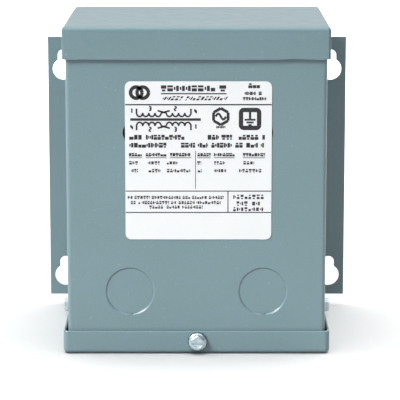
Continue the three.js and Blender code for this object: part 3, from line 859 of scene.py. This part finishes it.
def make_knockout(side):
    """A slug sheared all round but for a small tie at its lowest point, and struck slightly in."""
    node = f"knockout_{side}"
    low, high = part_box(node)
    middle = (low + high) / 2
    radius, rim = high.x - middle.x - SLUG_INSET, 0.1 * MM
    profile = [(0, SLUG_DEPTH)]
    profile += [(radius - u, SLUG_DEPTH + v) for u, v in quarter_round(rim, 4)]
    profile += [(radius - v, SHEET - u) for u, v in quarter_round(rim, 4)]
    profile.append((0, SHEET))
    bm = bmesh.new()
    lathe(bm, profile, (middle.x, low.y, middle.z), (0, 1, 0), 120)
    tie = bmesh.new()
    tie_low = (middle.x - 1.2 * MM, low.y + 0.1 * MM, low.z - 0.7 * MM)
    add_block(tie, tie_low, (middle.x + 1.0 * MM, high.y, low.z + MM), 0.08 * MM)
    tools = [mesh_object("tie", tie)]
    add_piece(f"knockout_slug_{side}", bm, "enclosure_paint", node, node, tools, "UNION")


# --- Nameplate and its print ---
# Places on it are (across from its left edge, down from its top edge), in millimetres.
INK = 0.03 * MM  # how far the ink stands off the film
INK_SUNK = 0.02 * MM
# Marks that stand for letters: blocks in a unit square, each (left, top, right, bottom)
MARKS = (
    ((0, 0, 1, 0.34), (0, 0.48, 1, 1)),
    ((0, 0, 1, 0.55), (0.18, 0.68, 0.82, 1)),
    ((0.18, 0, 0.82, 0.34), (0, 0.46, 1, 1)),
    ((0, 0.05, 0.55, 0.95), (0.68, 0.25, 1, 0.75)),
    ((0, 0.25, 0.32, 0.75), (0.45, 0.05, 1, 0.95)),
    ((0.04, 0.04, 0.96, 0.96),),
    ((0, 0.4, 1, 1),),
)


def make_nameplate():
    corner, edge = 3.5 * MM, 0.08 * MM
    depth = label_high.y - label_low.y
    left, right = label_low.x + corner, label_high.x - corner
    foot, top = label_low.z + corner, label_high.z - corner
    bm = bmesh.new()
    loops = []
    for inset, y in ((edge, 0), (0, edge), (0, depth - edge), (edge, depth)):
        loop = []
        for n, centre in enumerate(((right, foot), (right, top), (left, top), (left, foot))):
            for u, v in arc(centre, corner - inset, n / 4 - 0.25, n / 4, 10):
                loop.append(bm.verts.new((u, label_low.y + y, v)))
        loops.append(loop)
    bridge(bm, loops)
    add_piece("nameplate_film", bm, "label_film", "nameplate")


class Print:
    """Ink on the nameplate, as thin raised shapes."""

    def __init__(self, seed):
        self.bm = bmesh.new()
        self.random = random.Random(seed)

    def shape(self, points):
        """A filled outline; its points go round once."""
        places = [(label_low.x + u * MM, label_high.z - v * MM) for u, v in points]
        loops = []
        for y in (label_low.y - INK, label_low.y + INK_SUNK):
            loops.append([self.bm.verts.new((x, y, z)) for x, z in places])
        self.bm.faces.new(loops[0])
        self.bm.faces.new(reversed(loops[1]))
        for k in range(len(points)):
            n = (k + 1) % len(points)
            self.bm.faces.new([loops[0][n], loops[0][k], loops[1][k], loops[1][n]])

    def bar(self, left, top, right, bottom):
        self.shape([(left, top), (right, top), (right, bottom), (left, bottom)])

    def line(self, points, width):
        """A stroke along points, drawn as one ribbon."""
        path = [Vector(p) for p in points]
        left, right = [], []
        for k, point in enumerate(path):
            before, after = path[max(k - 1, 0)], path[min(k + 1, len(path) - 1)]
            across = turned_right((after - before).normalized()) * width / 2
            left.append(tuple(point + across))
            right.append(tuple(point - across))
        for k in range(len(path) - 1):
            self.shape([left[k], left[k + 1], right[k + 1], right[k]])

    def greek(self, left, top, right, bottom, weight=1.06, lean=0.0, wide=1.0):
        """Stands for a word: a row of small marks with the rhythm of letters but no letter among them."""
        height = bottom - top
        x = left
        while x < right - 0.2 * height:
            width = min(wide * height * self.random.uniform(0.6, 0.85), right - x)
            for a, b, c, d in self.random.choice(MARKS):
                trim_x, trim_y = (c - a) * (1 - weight) / 2, (d - b) * (1 - weight) / 2
                edges = x + (a + trim_x) * width, x + (c - trim_x) * width
                ends = top + (b + trim_y) * height, top + (d - trim_y) * height
                self.mark(*edges, *ends, lean * height, bottom)
            x += width + height * 0.12 * wide

    def words(self, top, bottom, spans, weight=1.06):
        """A line of words, each from a left edge to a right edge."""
        for left, right in zip(spans[::2], spans[1::2]):
            self.greek(left, top, right, bottom, weight)

    def mark(self, left, right, top, bottom, slant, base):
        """A bar that leans to the right above its base line."""
        above, below = slant * (base - top), slant * (base - bottom)
        upper = [(left + above, top), (right + above, top)]
        self.shape([*upper, (right + below, bottom), (left + below, bottom)])

    def numeral(self, digit, left, top):
        """One of the digits 1 to 4, in strokes on a half-millimetre grid, three across and five down."""
        strokes = {
            1: [[(0.6, 1.0), (1.2, 0), (1.2, 5)]],
            2: [[(0, 0.2), (2, 0.2), (2, 2.5), (0, 2.5), (0, 4.8), (2, 4.8)]],
            3: [[(0, 0.2), (2, 0.2), (2, 4.8), (0, 4.8)], [(0.4, 2.5), (2, 2.5)]],
            4: [[(0, 0), (0, 3), (2.2, 3)], [(1.6, 1.2), (1.6, 5)]],
        }[digit]
        for stroke in strokes:
            points = [(left + u / 2, top + v / 2) for u, v in stroke]
            for ends in zip(points, points[1:]):
                self.line(ends, 0.85)


def print_header(ink):
    """A symbol of two linked rings, a maker's line that names nobody, and three short lines."""
    for x in (6.7, 10.5):
        ink.line(arc((x, 6.6), 3.3, 0, 1, 40), 2.1)
    ink.greek(21.1, 2.3, 52.8, 5.9, 1.0, wide=1.3)
    ink.greek(55.2, 2.3, 59.4, 5.9, 1.0, wide=1.5)
    ink.bar(21.1, 6.85, 59.4, 7.6)
    ink.greek(21.3, 8.6, 32.8, 11.3, 0.8, 0.25)
    ink.greek(34.6, 8.6, 59.2, 11.3, 0.8, 0.25)
    ink.words(1.1, 3.9, (72.1, 79.4))
    ink.words(6.0, 8.0, (69.9, 76.8, 78.2, 80.5))
    ink.words(9.2, 11.1, (69.0, 82.7))
    ink.bar(0.2, 13.3, 85.8, 14.1)


def print_winding_diagram(ink):
    """Two split windings with crossed taps, over and under a core bar, and their terminal numbers."""
    middle, pitch, width = 22.7, 3.6, 1.05
    ink.bar(3.1, 21.7, 44.4, 23.2)
    for up, base, numerals in ((1, 18.6, (1, 3, 2, 4)), (-1, 26.2, (4, 2, 3, 1))):
        depth = 2.1 * up
        for side in (-1, 1):
            edge = middle + side * 15.9
            line = [(edge, base - 2.6 * up), (edge, base + 0.4 * up)]
            for hump in range(4):
                centre = edge - side * pitch * (hump + 0.5)
                for k in range(0 if hump else 2, 9):
                    angle = math.pi * k / 8
                    along = centre + side * pitch / 2 * math.cos(angle)
                    line.append((along, base + depth * math.sin(angle)))
            ink.line([*line, (middle - side * 3.6, base - 1.4 * up)], width)
        places = ((2.9, -2.6), (13.6, -3.9), (28.4, -3.9), (40.3, -2.3))
        for digit, (x, rise) in zip(numerals, places):
            ink.numeral(digit, x + 0.6, base + (rise if up > 0 else -rise - 3.1))


def print_marks(ink):
    """A hexagon with one cycle of a wave, and a rounded square with the sign for earth."""
    corners = arc((56.1, 20.7), 4.9, 1 / 12, 13 / 12, 6)
    for a, b in zip(corners, corners[1:]):
        ink.line([a, b], 1.7)
    ink.line([(53.1 + 0.25 * k, 20.7 - 1.7 * math.sin(FULL_TURN * k / 24)) for k in range(25)], 1.3)
    ink.greek(53.4, 26.2, 58.8, 27.6)
    square = []
    for n, corner in enumerate(((76.9, 25.8), (69.5, 25.8), (69.5, 18.4), (76.9, 18.4))):
        square += arc(corner, 1.6, n / 4, (n + 1) / 4, 6)
    ink.line([*square, square[0]], 2.6)
    ink.bar(72.5, 17.9, 73.9, 22.0)
    for half, y in ((3.2, 22.0), (2.1, 23.6), (1.0, 25.2)):
        ink.bar(73.2 - half, y, 73.2 + half, y + 1.15)


def print_rating(ink):
    """Two lines of rating words and figures."""
    ink.words(31.5, 34.4, (2.5, 10.4, 12.2, 34.7, 48.4, 55.0, 56.5, 62.7, 66.6, 78.6, 80.4, 82.0))
    ink.words(36.2, 39.1, (2.5, 24.2, 32.8, 41.0, 42.6, 48.6, 50.6, 62.6))
    ink.words(36.2, 39.1, (64.6, 69.4, 71.0, 77.8, 79.6, 82.0))


def print_table(ink):
    """Connections: underlined headings over two rows, either side of an upright rule."""
    for left, right in ((2.2, 9.8), (12.1, 24.3), (26.3, 38.8), (42.4, 50.2), (52.1, 64.2), (69.1, 82.0)):
        ink.greek(left, 42.3, right, 44.3)
        ink.bar(left, 44.9, right, 45.3)
    ink.words(47.1, 49.2, (2.2, 7.5, 13.3, 20.3, 24.4, 30.8, 42.2, 44.7, 52.1, 59.2, 69.3, 75.7), 0.92)
    ink.words(51.7, 53.9, (3.4, 7.5, 13.6, 20.8, 24.4, 38.2, 42.5, 44.9, 52.1, 59.2, 66.8, 80.3), 0.92)
    ink.bar(41.1, 41.0, 41.5, 63.6)
    ink.bar(0.2, 64.7, 85.8, 65.3)


def print_notes(ink):
    """A note of three small lines, and three larger lines in a box beside it."""
    ink.words(67.8, 69.75, (1.3, 4.3, 5.3, 14.4, 15.4, 32.6, 33.6, 38.2, 39.2, 48.0, 49.0, 57.9), 0.95)
    ink.words(70.9, 72.85, (3.1, 6.6, 7.6, 8.6, 9.6, 25.8, 26.8, 30.2, 31.2, 40.8, 41.8, 56.1), 0.95)
    ink.words(73.6, 75.55, (14.0, 22.6, 24.2, 32.0, 33.4, 45.6), 0.95)
    ink.words(67.0, 69.9, (63.4, 81.8), 0.85)
    ink.words(71.0, 73.9, (65.3, 72.6, 74.4, 79.8), 0.85)
    ink.words(74.5, 77.2, (63.3, 81.8), 0.85)
    ink.bar(60.1, 65.0, 60.7, 77.8)
    ink.bar(0.2, 77.5, 85.8, 78.1)


def make_print():
    ink = Print(seed=7)
    for part in (print_header, print_winding_diagram, print_marks, print_rating, print_table, print_notes):
        part(ink)
    add_piece("nameplate_print", ink.bm, "label_film", finish="label_ink", weld=1e-9)


# --- Fasteners ---
def hexagonal(angle, across, corner_at):
    """Distance from the middle of a hexagon to its side, towards an angle."""
    turn = (angle - corner_at + math.pi / 6) % (math.pi / 3) - math.pi / 6
    return across / 2 / math.cos(math.pi / 6 - abs(turn))


def make_screw(name, node, bearing, outward, shank, head, flange=0.0, corner_at=0.0, slot="zinc_plate"):
    """A slotted hexagon screw on the plane that it bears on: chamfered head, flange and rolled thread."""
    thread = shank - 0.6 * MM  # length
    steps = int(thread / THREAD_PITCH * 6)
    rings = [(0, -shank), (SHANK * 0.6, -shank)]
    rings += [(SHANK, -shank + 0.4 * MM + thread * k / steps) for k in range(steps + 1)]
    threaded = range(2, len(rings))
    rings.append((SHANK, 0))
    foot = 0.0
    if flange:
        foot = 1.0 * MM
        rings += [(flange - 0.15 * MM, 0), (flange, 0.15 * MM), (flange, 0.45 * MM)]
        rings += [(flange - 0.25 * MM, 0.62 * MM), (4.75 * MM, 0.8 * MM), (4.6 * MM, foot)]
    else:
        rings += [(3.8 * MM, 0)]
    first_flat = len(rings)
    rings += [(HEX_CORNER, foot + 0.02 * MM), (HEX_CORNER, head - 1.5 * MM)]
    for k in range(6):
        rings.append((HEX_CORNER - 0.15 * MM * k, head - 0.75 * MM + 0.11 * MM * k))
    last_flat = len(rings)
    rings += [(3.3 * MM, head), (2.7 * MM, head), (2.4 * MM, head - 0.45 * MM), (0, head - 0.5 * MM)]

    def radius_at(ring, angle, radius):
        if ring in threaded:
            height = rings[ring][1]
            phase = (height / THREAD_PITCH - angle / FULL_TURN) % 1
            fade = min(1.0, (shank + height) / (1.2 * MM))
            crest = 1 - abs(2 * phase - 1) * 1.3
            return SHANK * (0.62 + 0.38 * fade) - THREAD_DEPTH * (1 - max(0.0, min(1.0, crest + 0.2)))
        if first_flat <= ring < last_flat:
            return min(radius, hexagonal(angle, ACROSS_FLATS, corner_at))
        return radius

    bm = bmesh.new()
    lathe(bm, rings, bearing, outward, 96, radius_at)
    driver = bmesh.new()
    add_block(driver, (-6 * MM, -SLOT / 2, head - SLOT), (6 * MM, SLOT / 2, head + 2 * MM), 0.12 * MM)
    driver.transform(Matrix.Translation(bearing) @ turn_to(outward).to_4x4())
    add_piece(name, bm, slot, node, node, [mesh_object("driver slot", driver)], smooth_below=35)


def make_split_washer(name, node, axis, finish):
    """A spring lock washer: a square coil with its two cut ends a little out of line."""
    low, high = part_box(node)
    middle, axis = (low + high) / 2, Vector(axis)
    half = Vector((0, 0, abs((high - low).dot(axis)) / 2 - 0.05 * MM))
    turn = turn_to(axis)
    lattice = []
    for r in (SHANK_HOLE, max(high - low) / 2):
        row = []
        for k, point in enumerate(arc((0, 0), r, 0.025, 0.975, 60)):
            flat = Vector((*point, 0.1 * MM * (k / 60 - 0.5)))
            row.append((middle + turn @ (flat + half), middle + turn @ (flat - half)))
        lattice.append(row)
    bm = bmesh.new()
    sheet_solid(bm, lattice)
    round_edges(bm, 0.14 * MM)
    add_piece(name, bm, "zinc_plate", node, node, finish=finish)


def make_tooth_washer():
    """An external-tooth lock washer: fourteen teeth, each twisted out of the ring's plane."""
    node, teeth = "cover_washer", 14
    low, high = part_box(node)
    middle = (low + high) / 2
    radius, root = (high.x - low.x) / 2, 4.7 * MM
    half = (high.y - low.y) / 2 - 0.12 * MM
    lattice = []
    for r in (SHANK_HOLE, root - 0.3 * MM, root, radius):
        row = []
        for k, (x, z) in enumerate(arc((middle.x, middle.z), r, 0, 1, teeth * 6)[:-1]):
            across = (k % 6 - 1.5) / 1.5 if k % 6 < 4 else 0.0
            twist = 0.12 * MM * across if r == radius else 0.0
            row.append(((x, middle.y - half + twist, z), (x, middle.y + half + twist, z)))
        lattice.append(row)
    bm = bmesh.new()
    sheet_solid(bm, lattice, lambda i, j: i < 2 or j % 6 < 3, closed=True)
    round_edges(bm, 0.06 * MM)
    # The washer's steel is made dark as painted shade, standing for the shadow round the cover screw's
    # head.
    add_piece("cover_tooth_washer", bm, "zinc_plate", node, node, finish="washer_steel_painted_shade")


def make_ring_nut(name, node, axis, radius, hexed):
    """A nut with chamfered faces: round and knurled, or hexagonal."""
    low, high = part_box(node)
    axis = Vector(axis)
    height = abs((high - low).dot(axis))
    chamfer, bore, lead_in = 0.45 * MM, SHANK + 0.12 * MM, 0.3 * MM
    face = radius - chamfer * (2 if hexed else 1)
    profile = [(bore + lead_in, 0), (face, 0), (radius, chamfer), (radius, height - chamfer)]
    profile += [(face, height), (bore + lead_in, height), (bore, height - lead_in), (bore, lead_in)]
    profile.append(profile[0])

    def radius_at(ring, angle, r):
        if hexed and 1 <= ring <= 4:
            return min(r, hexagonal(angle, ACROSS_FLATS, 0))
        if not hexed and ring in (2, 3):
            return r - 0.12 * MM * (math.cos(angle * 24) < 0)
        return r

    bm = bmesh.new()
    lathe(bm, profile, middle_of(node) - axis * height / 2, axis, 96, radius_at)
    add_piece(name, bm, "zinc_plate", node, smooth_below=35)


def make_nut_plate():
    """The bar behind the case wall that the cover screw threads into."""
    low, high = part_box("cover_nut_plate")
    bm = bmesh.new()
    add_block(bm, low, high)
    round_edges(bm, 0.5 * MM, segments=3)
    hole = screw_hole("cover_screw", "y", (low.y, high.y))
    add_piece("cover_nut_bar", bm, "zinc_plate", "cover_nut_plate", "bottom_cover", [hole])


def make_ground_bracket():
    """The tab that the equipment ground is clamped to."""
    low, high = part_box("ground_bracket")
    section = bent_section([(high.y, low.z), (high.y, high.z), (low.y, high.z)], SHEET)
    bm = bmesh.new()
    swept(bm, section, [low.x, high.x], lambda p, x: (x, p.x, p.y))
    round_edges(bm, EDGE)
    hole = screw_hole("ground_screw", "z", (high.z - SHEET, high.z))
    add_piece("ground_tab", bm, "zinc_plate", "ground_bracket", tools=[hole])


def make_lead_tie(side):
    """A nylon tie: strap round four leads, a block for its locking head, and a cut tail."""
    node = f"lead_tie_{side}"
    low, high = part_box(node)
    x, strap, half = (low.x + high.x) / 2, 1.0 * MM, 1.8 * MM
    y = middle_of("lead_h1" if side == "left" else "lead_x1").y
    inside = LEAD_RADIUS + 0.3 * MM
    centre_low, centre_high = low.z + strap + inside, high.z - strap - inside

    def loop(radius):
        return arc((y, centre_high), radius, 0, 0.5, 16) + arc((y, centre_low), radius, 0.5, 1, 16)

    section = list(zip(loop(inside + strap), loop(inside)))
    bm = bmesh.new()
    lattice = [[((end, *a), (end, *b)) for a, b in section] for end in (x - half, x + half)]
    sheet_solid(bm, lattice, closed=True)
    round_edges(bm, 0.2 * MM)
    front, middle = low.y, (centre_low + centre_high) / 2
    back = y - inside - strap * 0.6
    add_block(bm, (low.x, front, middle - 2.4 * MM), (high.x, back, middle + 2.4 * MM), 0.4 * MM)
    tail = (front + back) / 2
    tail_low = (x - half, tail - strap / 2, middle + 2 * MM)
    add_block(bm, tail_low, (x + half, tail + strap / 2, middle + 6 * MM), 0.2 * MM)
    add_piece(f"{node}_strap", bm, "moulded_nylon", node)


def make_fasteners():
    """The screws, each with its washer and what it threads into."""
    screw = middle_of("cover_screw")
    bearing = (screw.x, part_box("cover_washer")[0].y - BEARING_GAP, screw.z)
    head = bearing[1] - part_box("cover_screw")[0].y
    make_screw(
        "cover_screw_steel", "cover_screw", bearing, (0, -1, 0), CASE_SHANK, head, FLANGE, QUARTER
    )
    make_tooth_washer()
    make_nut_plate()
    for side, sign in (("left", -1), ("right", 1)):
        node, washer, outward = f"side_screw_{side}", f"side_washer_{side}", (sign, 0, 0)
        screw, (low, high) = middle_of(node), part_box(washer)
        bearing = (low.x - BEARING_GAP if sign < 0 else high.x + BEARING_GAP, screw.y, screw.z)
        make_screw(f"{node}_steel", node, bearing, outward, CASE_SHANK, HEAD)
        # The lock washer's dark steel is painted shade, standing for the shadow round the screw head.
        make_split_washer(f"side_lock_washer_{side}", washer, outward, "washer_steel_painted_shade")
        make_ring_nut(f"side_clinch_nut_{side}", f"side_nut_{side}", outward, CLINCH_NUT, False)
    screw, up = middle_of("ground_screw"), (0, 0, 1)
    bearing = (screw.x, screw.y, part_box("ground_washer")[1].z + BEARING_GAP)
    make_screw(
        "ground_screw_green", "ground_screw", bearing, up, GROUND_SHANK, HEAD, FLANGE, slot="ground_green"
    )
    make_split_washer("ground_lock_washer", "ground_washer", up, "zinc_plate")
    make_ring_nut("ground_hex_nut", "ground_nut", up, HEX_CORNER, True)
    make_ground_bracket()


# --- The scene ---
def make_floor():
    bpy.ops.mesh.primitive_plane_add(size=24)
    floor = bpy.context.active_object
    floor.name = "floor"
    floor.data.materials.append(studio_floor())
    return floor


def dress_cad_nodes():
    """Gives every CAD node the finish of its slot."""
    slots = {part["node"]: part["material_slot"] for part in frame["record"]["subparts"]}
    for name, node in frame["nodes"].items():
        node.data.materials.clear()
        node.data.materials.append(MATERIALS[slots[name]])


make_camera()
MATERIALS = {}  # by the names of the record's slots
for make in (
    enclosure_paint, label_film, label_ink, ground_green, lamination_steel, magnet_wire, insulating_paper,
    cast_compound,
):
    MATERIALS[make.__name__] = make()
for name, *looks in (
    ("zinc_plate", (0.62, 0.72, 0.77), (0.50, 0.60, 0.65), 0.3, 0.85),
    # Dark washer steel: painted shade, standing for the shadow round the screw heads.
    ("washer_steel_painted_shade", (0.16, 0.17, 0.18), (0.09, 0.10, 0.11), 0.38),
    ("bolt_steel", 0.50, (0.38, 0.38, 0.39), 0.42),
    ("bare_copper", (0.86, 0.46, 0.28), (0.68, 0.32, 0.18), 0.32),
):
    MATERIALS[name] = plated(name, *looks)
for name, *looks in (
    ("moulded_nylon", 0.012, (0.022, 0.021, 0.02), 0.42),
    ("primary_lead", (0.010, 0.010, 0.011), (0.016, 0.016, 0.018), 0.38),
    ("secondary_lead", (0.48, 0.45, 0.37), (0.56, 0.53, 0.45), 0.38),
):
    MATERIALS[name] = moulded(name, *looks)

make_leads()
make_case()
make_cap()
make_back_plate()
make_cover()
for side in ("left", "right"):
    make_knockout(side)
    make_lead_tie(side)
make_nameplate()
make_print()
make_fasteners()
dress_cad_nodes()
make_light(make_floor())
